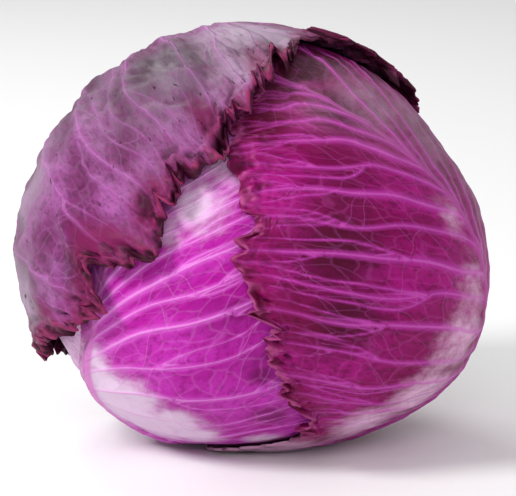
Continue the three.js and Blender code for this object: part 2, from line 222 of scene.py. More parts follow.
# %% the five outer leaves
STALK_SPREAD = 11.0
LEAF_FOOT = 12.2
LEAVES = {
    "leaf_left": dict(
        layer=1, foot=(-110, -160, -60), rib=(2.4, 8), vein=0.8, lift=(0.6, 0.3), tip=0, ragged=(0.02, 0.01),
        midrib=[(-118, -58), (-116, -42), (-114, -26), (-112, -10), (-108, 8), (-100, 25), (-85, 42),
                (-55, 56), (-25, 64)],
        left=[(-165, -60), (-172, -45), (-170, -28), (-165, -10), (-158, 8), (-148, 25), (-130, 42),
              (-100, 58), (-50, 68)],
        right=[(-60, -60), (-45, -45), (-38, -28), (-33, -10), (-30, 8), (-28, 25), (-22, 42), (-12, 54),
               (-10, 62)]),
    "leaf_back": dict(
        layer=2, foot=(165, 100, 215), rib=(2.8, 9), vein=0.9, lift=(0.5, 1.2), tip=0, ragged=(0.02, 0.03),
        midrib=[(165, -50), (163, -32), (162, -14), (160, 4), (156, 22), (148, 40), (130, 55), (80, 65)],
        left=[(116, -56), (111, -36), (110, -16), (112, 2), (112, 18), (112, 34), (106, 47), (70, 60)],
        right=[(210, -52), (220, -34), (222, -16), (220, 2), (215, 18), (205, 36), (190, 54), (110, 72)]),
    "leaf_front": dict(
        vein_gap=0.5, layer=2, foot=(-50, -85, -5), rib=(2.6, 9), vein=0.9, lift=(0.4, 0.4), tip=0,
        ragged=(0.05, 0.01),
        midrib=[(-62, -66), (-71, -56), (-70, -45), (-59, -32), (-49, -20), (-44, -10), (-40, 0),
                (-36, 12), (-31, 26), (-22, 40), (-8, 54), (0, 62)],
        left=[(-78, -68), (-84, -58), (-78, -46), (-65, -33), (-54, -21), (-49, -10), (-47, 2), (-45, 15),
              (-42, 30), (-34, 46), (-15, 58), (-4, 64)],
        right=[(5, -70), (22, -57), (32, -40), (31, -18), (26, 8), (22, 20), (18, 30), (14, 38), (11, 46),
               (9, 52), (6, 58), (4, 62)]),
    "leaf_right": dict(
        vein_gap=0.5, sweep=(0, 2.6), layer=3, foot=(55, 0, 115), rib=(2.2, 8), vein=1.1, lift=(1.2, 0.3),
        tip=0, ragged=(0.035, 0.01),
        midrib=[(75, -66), (70, -54), (74, -44), (79, -35), (82, -27), (79, -15), (72, -1), (64, 14),
                (52, 30), (34, 46), (14, 58), (-30, 72)],
        left=[(-100, -76), (-30, -69), (20, -54), (11, -36), (6, -22), (0, -4), (-6, 9), (-4, 22),
              (-7, 34), (-4, 45), (0, 55), (-40, 66)],
        right=[(120, -62), (128, -50), (135, -40), (140, -30), (143, -20), (144, -8), (142, 4), (138, 18),
               (134, 34), (134, 48), (140, 62), (-170, 78)],
        notches=[(0, 7.45, 0.1, 0.3)]),
    "leaf_top": dict(
        layer=4, foot=(-150, -200, -115), rib=(2.6, 9), vein=0.9, lift=(2.2, 4), tip=4.5, ragged=(0.03, 0.04),
        midrib=[(-150, -52), (-146, -28), (-140, -8), (-137, 8), (-135, 18), (-134, 27), (-133, 36),
                (-133, 46), (-133, 57), (-132, 70), (-120, 83), (50, 74)],
        left=[(158, -54), (148, -36), (140, -19), (134, -5), (129, 8), (125, 20), (118, 31), (108, 41),
              (102, 50), (104, 59), (98, 67), (70, 71)],
        right=[(-134, -57), (-122, -43), (-98, -31), (-61, -18), (-38, -8), (-31, 5), (-21, 13), (-16, 25),
               (-7, 34), (0, 44), (9, 54), (28, 67)],
        notches=[(1, 5.7, 0.05, 0.3)]),
}


def around_stalk(d, side):
    """Draws directions away from the stalk's axis (side 1), or back again (side -1)."""
    along = np.clip(d @ STALK_AXIS, -1, 1)
    angle = np.degrees(np.arccos(along))
    moved = np.radians(np.sqrt(np.maximum(angle**2 + side * STALK_SPREAD**2, 1e-4)))[..., None]
    outward = unit(d - along[..., None] * STALK_AXIS + 1e-12)
    return np.cos(moved) * STALK_AXIS + np.sin(moved) * outward


def leaf_curve(foot_turn, points):
    stations = np.array([rays_from_stalk(LEAF_FOOT, foot_turn)] + [aim(*p) for p in points])
    stations = around_stalk(stations, -1)
    ends = (2 * stations[0] - stations[1], 2 * stations[-1] - stations[-2])
    return np.vstack([ends[0], stations, ends[1]])


def on_curve(stations, share):
    """Points of a smooth curve through the stations, at shares from 0 to 1 of its length."""
    count = len(stations) - 3
    place = np.clip(share, 0, 1) * count
    first = np.minimum(np.floor(place), count - 1).astype(int)
    t = (place - first)[..., None]
    p0, p1, p2, p3 = (stations[first + k] for k in range(4))
    bend, twist = 2 * p0 - 5 * p1 + 4 * p2 - p3, -p0 + 3 * p1 - 3 * p2 + p3
    return unit(0.5 * (2 * p1 + (p2 - p0) * t + bend * t**2 + twist * t**3))


def crumple(along, layer, side):
    """The slow in and out of a leaf's torn rim, between -1 and 1."""
    start = 2.1 * layer + 0.9 * side
    waves = ((0.5, 5.3, 1.0), (0.3, 9.1, 1.7), (0.2, 14.2, 2.9))
    return sum(h * np.sin(2 * np.pi * f * along + k * start) for h, f, k in waves)


def angle_between(p, q):
    return np.arccos(np.clip((p * q).sum(-1), -1, 1))


def leaf_directions(leaf, along, across, teeth=0.0):
    """Directions at shares along a leaf, and across it from -1 to 1."""
    side = (across > 0).astype(int)
    middle = on_curve(leaf["curves"][0], along)
    edges = [on_curve(leaf["curves"][k], along) for k in (1, 2)]
    edge = np.where(side[..., None] == 0, edges[0], edges[1])
    angle = np.maximum(angle_between(middle, edge), 1e-5)[..., None]
    rough = [leaf["ragged"][k] * crumple(along, leaf["layer"], k) for k in (0, 1)]
    for notch_side, station, depth, width in leaf.get("notches", ()):
        bite = depth * np.exp(-(((along * leaf["veins"] - station) / width) ** 2))
        rough[notch_side] = rough[notch_side] - bite
    tear = np.where(side == 0, rough[0], rough[1]) * smooth(0.8, 1, np.abs(across)) + teeth
    share = (np.abs(across) * (1 + tear))[..., None]
    d = np.sin((1 - share) * angle) / np.sin(angle) * middle + np.sin(share * angle) / np.sin(angle) * edge
    return around_stalk(unit(d), 1)


RIM_STEPS, END_STEPS = 90, 8
for leaf in LEAVES.values():
    leaf["veins"] = len(leaf["midrib"])
    leaf.setdefault("vein_gap", 1)
    leaf.setdefault("sweep", (0, 0))
    leaf["curves"] = [leaf_curve(t, leaf[k]) for t, k in zip(leaf["foot"], ("midrib", "left", "right"))]
    up = np.linspace(0, 1, RIM_STEPS, endpoint=False)
    over = np.linspace(-1, 1, END_STEPS, endpoint=False)
    edge, end = np.ones(RIM_STEPS), np.ones(END_STEPS)
    sides = [(up, -edge), (end, over), (1 - up, edge), (0 * end, -over)]
    leaf["rim"] = np.vstack([leaf_directions(leaf, a, b) for a, b in sides])
print("leaves:", ", ".join(LEAVES))

# %% [markdown]
# Under a tight outer leaf, the ribs of the leaf below are pressed flat. So each leaf is asked how
# far each of its points lies outside the rims of the leaves that cover it: its ribs rise only where
# it lies open.

# %% where a leaf lies open
COVERED_MARGIN = 2.5
COVERED_EASE = 4.5


def clear_of(cover, d):
    """Degrees from directions to a covering leaf's rim, below zero where it covers them."""
    rim = cover["rim"]
    flat = d.reshape(-1, 3)
    nearest = np.argmax(flat @ rim.T, axis=1)
    count = len(rim)
    turn = np.cross(rim[(nearest - 1) % count], rim[(nearest + 1) % count])
    away = np.degrees(angle_between(flat, rim[nearest]))
    return (away * np.where((turn * flat).sum(1) < 0, -1, 1)).reshape(d.shape[:-1])


def openness(leaf, d):
    clear = np.full(d.shape[:-1], 1e3)
    for cover in LEAVES.values():
        if cover["layer"] > leaf["layer"]:
            clear = np.minimum(clear, clear_of(cover, d))
    return smooth(COVERED_MARGIN, COVERED_MARGIN + COVERED_EASE, clear)


below = LEAVES["leaf_front"]
midrib_open = openness(below, leaf_directions(below, np.linspace(0, 1, 50), np.zeros(50)))
print("leaf_front's midrib lies open over", round(float(midrib_open.mean()), 2), "of its length")

# %% [markdown]
# A cabbage leaf's side veins leave the midrib in step and sweep outwards. Each forks on its way to the
# edge, and thin links slant from one vein to the next, so that the blade is divided into long panels.
# The veins are drawn as paths in two leaf measures: the place along the leaf and the share across it.

# %% vein paths
VEIN_SEED = 7
LATERAL_WIDTH, FORK_WIDTH, LINK_WIDTH = (0.66, 0.2), (0.32, 0.1), (0.2, 0.16)
SHARES = np.linspace(0, 0.985, 240)


def vein_paths(leaf, side):
    """The veins of one half of a leaf: laterals with forks, and links, each with half widths in mm."""
    rng = np.random.default_rng(VEIN_SEED + 10 * leaf["layer"] + side)
    gap, sweep = leaf["vein_gap"], leaf["sweep"][side]
    swing = 0.07 * np.sin(5 * SHARES + rng.uniform(0, 6)) + 0.05 * np.sin(11 * SHARES + rng.uniform(0, 6))
    swing = swing + sweep * (1 - np.exp(-SHARES / 0.3)) - 0.25 * np.exp(-SHARES / 0.06)
    starts = np.arange(1, leaf["veins"], gap)
    laterals, forks, main = [], {}, []
    for k, start in enumerate(starts):
        a, b = rng.uniform(0, 2 * np.pi, 2)
        own = gap * (0.1 * np.sin(8 * SHARES + a) + 0.03 * np.sin(19 * SHARES + b))
        laterals.append(start + swing + own)
        size = 1.0 if start % 1 == 0 else 0.7
        main.append((laterals[k], SHARES, [w * size for w in LATERAL_WIDTH]))
        for way in (-1, 1):
            split = rng.uniform(0.25, 0.8)
            reach = gap * rng.uniform(0.3, 0.48)
            run = np.clip((SHARES - split) / 0.1, 0, None)
            kink = 0.03 * gap * np.sin(19 * SHARES + b + way) * np.clip(run, 0, 1)
            forks[k, way] = (split, laterals[k] + way * reach * (1 - np.exp(-run)) + kink)
            after = SHARES >= split
            main.append((forks[k, way][1][after], SHARES[after], FORK_WIDTH))
    links = []
    for k in range(len(starts) - 1):
        rungs = [(0, laterals[k]), forks[k, 1], forks[k + 1, -1], (0, laterals[k + 1])]
        share = rng.uniform(0.08, 0.2)
        rise = np.linspace(0, 1, 24)
        while share < 0.93:
            slant = rng.choice((-1, 1)) * rng.uniform(0.03, 0.13)
            there = np.clip(share + slant * (rise + 0.08 * np.sin(7 * rise)), 0.03, 0.98)
            here = [curve for split, curve in rungs if split < there.min()]
            first = rng.integers(len(here) - 1)
            low, high = (np.interp(there, SHARES, here[first + i]) for i in (0, 1))
            bow = gap * (0.12 * rng.uniform(-1, 1) * np.sin(np.pi * rise)
                         + 0.05 * rng.uniform(-1, 1) * np.sin(2 * np.pi * rise))
            links.append((low + (high - low) * rise + bow, there, LINK_WIDTH))
            share += rng.uniform(0.06, 0.16)
    return [[path for path in group if path[0].max() < leaf["veins"] - 0.1] for group in (main, links)]


front_paths = vein_paths(LEAVES["leaf_front"], 0)
print("leaf_front, one side:", len(front_paths[0]), "veins and forks,", len(front_paths[1]), "links")

# %% [markdown]
# For every point of a leaf the nearest vein is looked up in a tree of points spaced half a millimetre.
# The distance is kept twice, with and without its sign. The one with a sign changes evenly through
# zero on the vein, so the shader can draw a line much finer than the grid. The one without hides the
# places between two veins, where the sign turns over.

# %% distance to the nearest vein
POINT_SPACING = 0.5


def vein_points(leaf, side, paths):
    """Points along the paths, the way that they run, and half widths."""
    points, runs, widths = [], [], []
    for place, share, (first, last) in paths:
        line = leaf_directions(leaf, place / leaf["veins"], share * (1 if side else -1)) * HALF_DEPTH
        length = np.concatenate([[0], np.cumsum(np.linalg.norm(np.diff(line, axis=0), axis=1))])
        steps = np.linspace(0, length[-1], max(4, int(length[-1] / POINT_SPACING)))
        dense = np.stack([np.interp(steps, length, line[:, i]) for i in range(3)], axis=1)
        points.append(dense)
        runs.append(unit(np.gradient(dense, axis=0) + 1e-9))
        reached = share[0] + (share[-1] - share[0]) * steps / length[-1]
        widths.append(np.interp(reached, [0, 1], [first, last]))
    return np.vstack(points), np.vstack(runs), np.concatenate(widths)


def nearest_vein(parts, places):
    """Signed and plain distances in mm from places to the nearest vein, and its half width."""
    points, runs, widths = (np.concatenate(group) for group in zip(*parts))
    tree = KDTree(len(points))
    for index, point in enumerate(points):
        tree.insert(point, index)
    tree.balance()
    flat = places.reshape(-1, 3)
    found = [tree.find(place) for place in flat]
    index = np.array([f[1] for f in found])
    away = np.array([f[2] for f in found])
    sideways = np.cross(runs[index], unit(points[index]))
    signed = ((flat - points[index]) * sideways).sum(1)
    shape = places.shape[:-1]
    return signed.reshape(shape), away.reshape(shape), widths[index].reshape(shape)


print("its veins are", len(vein_points(LEAVES["leaf_front"], 0, front_paths[0])[0]), "points")

# %% [markdown]
# Crumples come from noise fields. Across the blade they are read in leaf measures, so that puckers run
# with the veins, and near the rim in millimetres along and away from the rim, so that folds stand
# square to it, as they do where a leaf has dried.

# %% noise and soft patches
def noise_field(*measures, octaves=2):
    """Smooth noise between about -1 and 1, read at up to three measures of the same shape."""
    columns = [np.broadcast_to(m, measures[0].shape).reshape(-1) for m in measures]
    points = np.stack(columns + [np.zeros_like(columns[0])] * (3 - len(columns)), axis=1)
    return np.array([noise.fractal(Vector(p), 0.9, 2.1, octaves) for p in points]).reshape(measures[0].shape)


def patches(d, spots):
    """0 to 1 over soft patches, each an azimuth, an elevation, a size in degrees and a strength."""
    total = np.zeros(d.shape[:-1])
    for azimuth, elevation, size, strength in spots:
        away = np.degrees(angle_between(d, aim(azimuth, elevation)))
        total = np.maximum(total, strength * np.exp(-((away / size) ** 2)))
    return total


def torn_rim(arc, station, looks, side, seed):
    """How far in mm a dry rim is torn in: lobes with sharp notches, fraying, and spikes outwards."""
    drift = noise_field(arc / 14, seed + 0 * arc)
    size = 0.8 + 1.1 * noise_field(arc / 17, seed + 4 + 0 * arc)
    wave = np.abs(np.sin(np.pi * (arc / looks["lobe_mm"] + 1.4 * drift)))
    fray = noise_field(arc / 5.5, seed + 8 + 0 * arc, octaves=4)
    torn = looks["tear"] * (np.clip(size, 0.1, 2) * (1 - wave**0.45) + 0.25 * fray)
    for knot_side, place, width, height, _ in looks["knots"]:
        if knot_side == side:
            near = np.exp(-(((station - place) / width) ** 2))
            torn = torn + height * near * (0.5 + 1.3 * fray + 0.8 * (1 - wave))
    for spike_side, place, width, height in looks["spikes"]:
        if spike_side == side:
            torn = torn - height * np.exp(-(((station - place) / width) ** 2)) * wave**12
    return torn - 0.3 * looks["tear"]


print("noise at three places:", noise_field(np.array([0.2, 0.5, 0.8])).round(2))

# %% [markdown]
# One function lays a leaf: a grid primitive whose rows follow the side veins is bent onto the head and
# raised along its ribs, and its rim is torn, folded and lifted off the leaf below. The numbers that the
# shader needs are kept as attributes of the vertices. Solidify then gives the blade its thickness,
# inwards, so the outside keeps its form.

# %% lay a leaf
BLADE = 0.8
FOLD_REACH = 18.0
LENGTH_IN_DEPTHS = 2.8
WEAVE_STRETCH = 0.42
BLADE_LIMIT, RIM_EXTRA = 3.2, 1.8
DEEPEST = -0.6
SMOOTH_BLADE = math.radians(60)


def spread_columns(left, right, crowd):
    """Shares from -1 to 1, closer together towards both edges."""
    halves = [1 - (1 - np.linspace(0, 1, count + 1)) ** crowd for count in (left, right)]
    return np.concatenate([-halves[0][:0:-1], halves[1]])


def shape_leaf(leaf, looks, along, across, middle):
    """The points of a leaf in mm and its attributes."""
    reach, side, station = np.abs(across), (across > 0).astype(int), along * leaf["veins"]
    seed = 11.3 * leaf["layer"]

    def pick(pair):
        return np.where(side == 0, pair[0], pair[1])

    plain = leaf_directions(leaf, along, across)
    half = [angle_between(plain[:, middle], plain[:, k])[:, None] * HALF_DEPTH for k in (0, -1)]
    edge_mm = (1 - reach) * pick(half)
    arc = [np.concatenate([[0], np.cumsum(np.linalg.norm(np.diff(plain[:, k], axis=0), axis=1))]) * HALF_DEPTH
           for k in (0, -1)]
    torn = [torn_rim(a, station[:, 0], looks, k, seed + 31 * k)[:, None] for k, a in enumerate(arc)]
    arc = pick([a[:, None] for a in arc])
    teeth = -pick(torn) / np.maximum(pick(half), 5) * smooth(12, 0, edge_mm)
    d = leaf_directions(leaf, along, across, teeth * smooth(0.03, 0.12, along))
    open_here = openness(leaf, d)

    network = [vein_paths(leaf, k) for k in (0, 1)]
    veins, links = ([vein_points(leaf, k, network[k][n]) for k in (0, 1)] for n in (0, 1))
    vein, vein_away, vein_width = nearest_vein(veins, d * HALF_DEPTH)
    link, link_away, _ = nearest_vein(links, d * HALF_DEPTH)
    rib_mm = angle_between(plain[:, middle][:, None], plain) * HALF_DEPTH
    run_mm, over_mm = along * HALF_DEPTH * LENGTH_IN_DEPTHS, np.where(side == 0, -rib_mm, rib_mm)

    grown = np.clip(vein_width / LATERAL_WIDTH[0], 0, 1)
    rib_width = leaf["rib"][1] * (1 - 0.85 * along) * 0.5 + 0.5
    rib = leaf["rib"][0] * (1 - 0.8 * along) * np.exp(-((rib_mm / rib_width) ** 2))
    crest = np.exp(-vein_away / looks["crest_mm"]) * (1 - looks["round"])
    crest = crest + looks["round"] * np.exp(-((vein_away / (1.4 * looks["crest_mm"])) ** 2))
    ridge = looks["ridge"] * crest * grown + 0.16 * np.exp(-((link_away / 0.8) ** 2))
    pucker = looks["pucker"] * noise_field(run_mm / 9, over_mm / 21, seed + 0 * arc)
    panels = np.abs(noise_field(run_mm / 15, over_mm / 15, seed + 2 + 0 * arc))
    pucker = pucker + looks["quilt"] * (panels - 0.25)
    wrinkle = looks["wrinkle"] * noise_field(run_mm / 2.6, over_mm / 8, seed + 5 + 0 * arc)
    waves = 0.6 + 0.4 * pick([crumple(along, leaf["layer"] + 0.5, k) for k in (0, 1)])
    lift = pick(leaf["lift"]) * smooth(0.72, 1, reach) * smooth(0.2, 0.35, along)
    lift = (lift + leaf["tip"] * smooth(0.8, 1, along)) * waves
    crushed = np.ones(along.shape)
    for knot_side, place, width, height, depth in looks["knots"]:
        near = (side == knot_side) * np.exp(-(((station - place) / width) ** 2)) * smooth(depth, 0, edge_mm)
        lift, crushed = lift + 0.6 * height * near, crushed + 1.3 * near
    broad = np.abs(noise_field(arc / looks["fold_mm"], edge_mm / 9, seed + 7 + 0 * arc))
    sharp = np.abs(noise_field(arc / 4.5, edge_mm / 4.5, seed + 9 + 0 * arc))
    creased = 1 - 1.9 * broad - 1.1 * sharp
    fold = looks["fold"] * crushed * creased * smooth(FOLD_REACH, 1.5, edge_mm) * smooth(0.2, 0.3, along)
    raised = open_here * (np.maximum(rib, ridge) + pucker + wrinkle + lift + fold)
    # The head keeps its size: a blade stands at most 3.2 mm over its layer, and its rim 5.
    limit = BLADE_LIMIT + RIM_EXTRA * smooth(14, 4, edge_mm)
    raised = np.where(raised > 0, limit * np.tanh(raised / limit), raised)
    points = CENTRE + d * layer_radius(d, leaf["layer"], np.maximum(raised, DEEPEST))[..., None]
    spots = {key: patches(d, looks.get(key, ())) for key in ("pale", "shade", "bloom")}
    marks = dict(vein=vein, vein_away=vein_away, vein_width=vein_width, link=link, link_away=link_away,
                 rib_mm=rib_mm, rib_width=rib_width, edge_mm=edge_mm, arc_mm=arc, fold=creased, **spots)
    return points, marks, np.stack([run_mm, over_mm * WEAVE_STRETCH, seed + 0 * arc], axis=-1)


def lay_leaf(name, looks, fineness):
    leaf = LEAVES[name]
    rows, left, right = (int(n * fineness) // 2 * 2 for n in looks["grid"])
    bpy.ops.object.select_all(action="DESELECT")
    bpy.ops.mesh.primitive_grid_add(x_subdivisions=left + right, y_subdivisions=rows, size=2)
    piece = bpy.context.object
    piece.name = piece.data.name = name + "_blade"
    along, across = np.meshgrid(np.linspace(0, 1, rows + 1), spread_columns(left, right, 1.25), indexing="ij")
    points, marks, weave = shape_leaf(leaf, looks, along, across, left)
    piece.data.vertices.foreach_set("co", (points * MM).reshape(-1))
    for label, values in marks.items():
        layer = piece.data.attributes.new(label, "FLOAT", "POINT")
        column = np.ascontiguousarray(values + 0 * across, dtype=np.float32)
        layer.data.foreach_set("value", column.reshape(-1))
    layer = piece.data.attributes.new("weave", "FLOAT_VECTOR", "POINT")
    layer.data.foreach_set("vector", np.ascontiguousarray(weave, dtype=np.float32).reshape(-1))
    piece.data.update()
    thick = piece.modifiers.new("blade", "SOLIDIFY")
    thick.thickness = BLADE * MM
    thick.offset = -1
    bpy.ops.object.modifier_apply(modifier=thick.name)
    bpy.ops.object.shade_smooth_by_angle(angle=SMOOTH_BLADE)
    print(name, len(piece.data.polygons), "faces")
    return piece


# %% [markdown]
# Red cabbage leaf is a waxed skin over purple flesh. Between the veins its pigment lies in clouds and
# streaks that run with the veins. A photograph could be laid over it, but noise in the leaf's own
# measures follows every fold, has no seams and stays sharp at any distance.

# %% the blade's ground colour
SOFT = dict(interpolation_type="SMOOTHSTEP")
TIMES, PLUS = dict(operation="MULTIPLY"), dict(operation="ADD")
BLEND = dict(data_type="RGBA", out=2)


def blade_ground(add, colours):
    """The blade between its veins, with the noises that the other layers share."""
    weave = add("Attribute", attribute_name="weave", out="Vector")
    # Clouds are 12 mm across and streaks 3 mm wide: the weave counts in millimetres.
    cloud = add("TexNoise", {"Vector": weave, "Scale": 0.085, "Detail": 4})
    streak = add("TexNoise", {"Vector": weave, "Scale": 0.36, "Detail": 4, "Roughness": 0.65})
    cloudy = add("MapRange", (cloud, 0.34, 0.66), **SOFT)
    colour = add("Mix", {0: cloudy, 6: colours["deep"], 7: colours["blade"]}, **BLEND)
    streaky = add("MapRange", (streak, 0.42, 0.72, 0, 0.6), **SOFT)
    colour = add("Mix", {0: streaky, 6: colour, 7: colours["deep"]}, **BLEND)
    # The flesh is mottled in spots about 1.3 mm across.
    mottle = add("TexNoise", {"Vector": weave, "Scale": 0.75, "Detail": 5, "Roughness": 0.7})
    mottle = add("MapRange", (mottle, 0.48, 0.62, 0, 0.45), **SOFT)
    colour = add("Mix", {0: mottle, 6: colour, 7: colours["dark"]}, **BLEND)
    # Painted shade: the shade patches darken the blade towards its dark colour, as shadows under lifted rims
    # and in gaps between the leaves, and as shade where a face turns from the light; the streaks deepen it a
    # little.
    dense = add("Attribute", attribute_name="shade", out="Fac")
    dense = add("Math", (dense, add("Math", (streak, 0.3), **TIMES)), **PLUS)
    dense = add("MapRange", (dense, 0.25, 1.2, 0, 0.95), **SOFT)
    return weave, cloud, streak, add("Mix", {0: dense, 6: colour, 7: colours["dark"]}, **BLEND)


# %% [markdown]
# The veins are paler than the blade. Each line is drawn from the signed distance, and a soft glow of
# brighter flesh lies on both sides of it. Under them a net of the finest veins just shows.

# %% veins in the colour
def vein_line(add, name, width):
    """1 on a vein, falling to 0 beside it, and 0 where the distance's sign turns over."""
    signed = add("Attribute", attribute_name=name, out="Fac")
    away = add("Attribute", attribute_name=name + "_away", out="Fac")
    share = add("Math", (add("Math", (signed,), operation="ABSOLUTE"), width), operation="DIVIDE")
    line = add("MapRange", (share, 0.2, 1.5, 1, 0), **SOFT)
    return add("Math", (line, add("MapRange", (away, 0.8, 1.2, 1, 0), **SOFT)), **TIMES)


def draw_veins(add, colour, colours, weave, cloud, streak):
    width = add("Attribute", attribute_name="vein_width", out="Fac")
    away = add("Attribute", attribute_name="vein_away", out="Fac")
    beside = add("Math", (away, width), operation="DIVIDE")
    glow = add("MapRange", (beside, 0.4, 5, colours["glow"], 0), **SOFT)
    colour = add("Mix", {0: glow, 6: colour, 7: colours["halo"]}, **BLEND)
    thin = add("Attribute", attribute_name="pale", out="Fac")
    thin = add("Math", (thin, add("Math", (cloud, 0.25), **TIMES)), **PLUS)
    thin = add("Math", (thin, add("Math", (streak, 0.6), **TIMES)), **PLUS)
    thin = add("MapRange", (thin, 0.6, 1.2), **SOFT)
    colour = add("Mix", {0: thin, 6: colour, 7: colours["pale"]}, **BLEND)
    # The finest cells are 4 mm by 10, their lines bent by noise.
    shift = add("TexNoise", {"Vector": weave, "Scale": 0.3}, out="Color")
    bent = add("Mix", {0: 0.9, 6: weave, 7: shift}, blend_type="LINEAR_LIGHT", **BLEND)
    net = add("TexVoronoi", {"Vector": bent, "Scale": 0.24}, feature="DISTANCE_TO_EDGE", out="Distance")
    net = add("MapRange", (net, 0, 0.07, 0.1, 0), **SOFT)
    colour = add("Mix", {0: net, 6: colour, 7: colours["vein"]}, **BLEND)
    link, vein = vein_line(add, "link", 0.2), vein_line(add, "vein", width)
    vein = add("Math", (vein, add("MapRange", (width, 0.1, 0.5, 0.2, 1))), **TIMES)
    for line, strength in ((link, 0.16), (vein, colours["line"])):
        share = add("Math", (line, strength), **TIMES)
        colour = add("Mix", {0: share, 6: colour, 7: colours["vein"]}, **BLEND)
    rib = add("Attribute", attribute_name="rib_mm", out="Fac")
    rib = add("Math", (rib, add("Attribute", attribute_name="rib_width", out="Fac")), operation="DIVIDE")
    rib = add("MapRange", (rib, 0.55, 0.95, 0.8, 0), **SOFT)
    colour = add("Mix", {0: rib, 6: colour, 7: colours["rib"]}, **BLEND)
    link = add("Math", (link, 0.4), **TIMES)
    return thin, add("Math", (link, vein), operation="MAXIMUM"), colour


# %% [markdown]
# Leaves that grew outside carry a grey wax, thick in some streaks and thin in others, and thinner on
# the veins, where it is rubbed off first; its grey is painted lighter and darker in clouds, as light
# and shade on the leaf's facets. Round the rim the blade is denser, and the rim itself has dried
# dark: painted shade darkens the hollows of its folds, and a painted highlight lightens their crests
# to a dull pink.

# %% wax and dry rim
def dust_with_wax(add, colour, colours, cloud, streak, line):
    # The skin is speckled at about 0.8 mm.
    place = add("TexCoord", out="Object")
    speck = add("TexNoise", {"Vector": place, "Scale": 1200, "Detail": 2, "Roughness": 0.7})
    # Painted light and shade on the wax: its grey turns from a shaded grey towards a lit one in clouds, as on
    # the leaf's facets, and is lightest over the pale patches, which on the wrapper leaf's left side are
    # painted light.
    wax_light_and_shade = add("MapRange", (cloud, 0.35, 0.65, 0, 0.3), **SOFT)
    wax_light_and_shade = add("Math", (wax_light_and_shade, add("Attribute", attribute_name="pale", out="Fac")), **PLUS)
    wax_light_and_shade = add("Mix", {0: wax_light_and_shade, 6: colours["bloom_shade"], 7: colours["bloom"]}, **BLEND)
    dust = add("MapRange", (streak, 0.35, 0.7, 1, 0.5), **SOFT)
    dust = add("Math", (dust, add("MapRange", (speck, 0.3, 0.7, 0.85, 1), **SOFT)), **TIMES)
    dust = add("Math", (dust, add("MapRange", (line, 0, 1, 1, 0.7))), **TIMES)
    dust = add("Math", (dust, add("Attribute", attribute_name="bloom", out="Fac")), **TIMES)
    return add("Mix", {0: dust, 6: colour, 7: wax_light_and_shade}, **BLEND)


def dry_rim(add, colour, colours, cloud, streak, thin):
    edge = add("Attribute", attribute_name="edge_mm", out="Fac")
    fold = add("Attribute", attribute_name="fold", out="Fac")
    wander = add("MapRange", (cloud, 0.3, 0.7, -8, 8), **SOFT)
    flush = add("Math", (edge, wander), **PLUS)
    flush = add("MapRange", (flush, 3, 22, colours["rim_share"], 0), **SOFT)
    colour = add("Mix", {0: flush, 6: colour, 7: colours["rim"]}, **BLEND)
    # Painted shade: the hollows of the rim's folds are darkened within 20 mm of the rim, as shade falls in
    # them.
    fold_shade = add("MapRange", (fold, -0.8, 0.2, colours["crease_shade"], 0), **SOFT)
    fold_shade = add("Math", (fold_shade, add("MapRange", (edge, 4, 20, 1, 0), **SOFT)), **TIMES)
    colour = add("Mix", {0: fold_shade, 6: colour, 7: colours["dark"]}, **BLEND)
    # Painted highlight: the dried rim goes from its dark edge colour in the fold hollows to the lighter crest
    # colour on the fold tops, as light falls on them.
    dry_edge_with_highlight = add("MapRange", (fold, 0.1, 0.9), **SOFT)
    dry_edge_with_highlight = add("Mix", {0: dry_edge_with_highlight, 6: colours["edge"], 7: colours["crest"]}, **BLEND)
    reach = colours["edge_mm"]
    wander = add("MapRange", (streak, 0.3, 0.7, -0.6 * reach, 0.6 * reach), **SOFT)
    dry = add("Math", (edge, wander), **PLUS)
    dry = add("MapRange", (dry, 0.15 * reach, reach, colours["edge_share"], 0), **SOFT)
    dry = add("Math", (dry, add("MapRange", (thin, 0, 1, 1, 0))), **TIMES)
    return add("Mix", {0: dry, 6: colour, 7: dry_edge_with_highlight}, **BLEND)


# %% [markdown]
# A leaf's material joins those layers. Its gloss is low, since fresh leaf is waxed but not polished,
# and a fine bump follows the streaks and lines, which are too small to be modelled.

# %% leaf materials
def leaf_material(title, colours, roughness=0.42):
    material = bpy.data.materials.new(title)
    material.use_nodes = True
    add = partial(add_node, material.node_tree)
    shader = material.node_tree.nodes["Principled BSDF"]
    weave, cloud, streak, colour = blade_ground(add, colours)
    thin, line, colour = draw_veins(add, colour, colours, weave, cloud, streak)
    if "bloom" in colours:
        colour = dust_with_wax(add, colour, colours, cloud, streak, line)
    colour = dry_rim(add, colour, colours, cloud, streak, thin)
    # Old knocks leave dark marks 1 to 3 mm long.
    knock = add("TexNoise", {"Vector": weave, "Scale": 0.55})
    knock = add("MapRange", (knock, 0.68, 0.74, 0, colours["knocks"]), **SOFT)
    colour = add("Mix", {0: knock, 6: colour, 7: colours["dark"]}, **BLEND)
    height = add("Math", (add("Math", (streak, 0.35), **TIMES), line), **PLUS)
    bump = add("Bump", {"Height": height, "Strength": 0.5, "Distance": 0.0005})
    material.node_tree.links.new(colour, shader.inputs["Base Color"])
    material.node_tree.links.new(bump, shader.inputs["Normal"])
    shader.inputs["Roughness"].default_value = roughness
    shader.inputs["Specular IOR Level"].default_value = 0.09
    return material


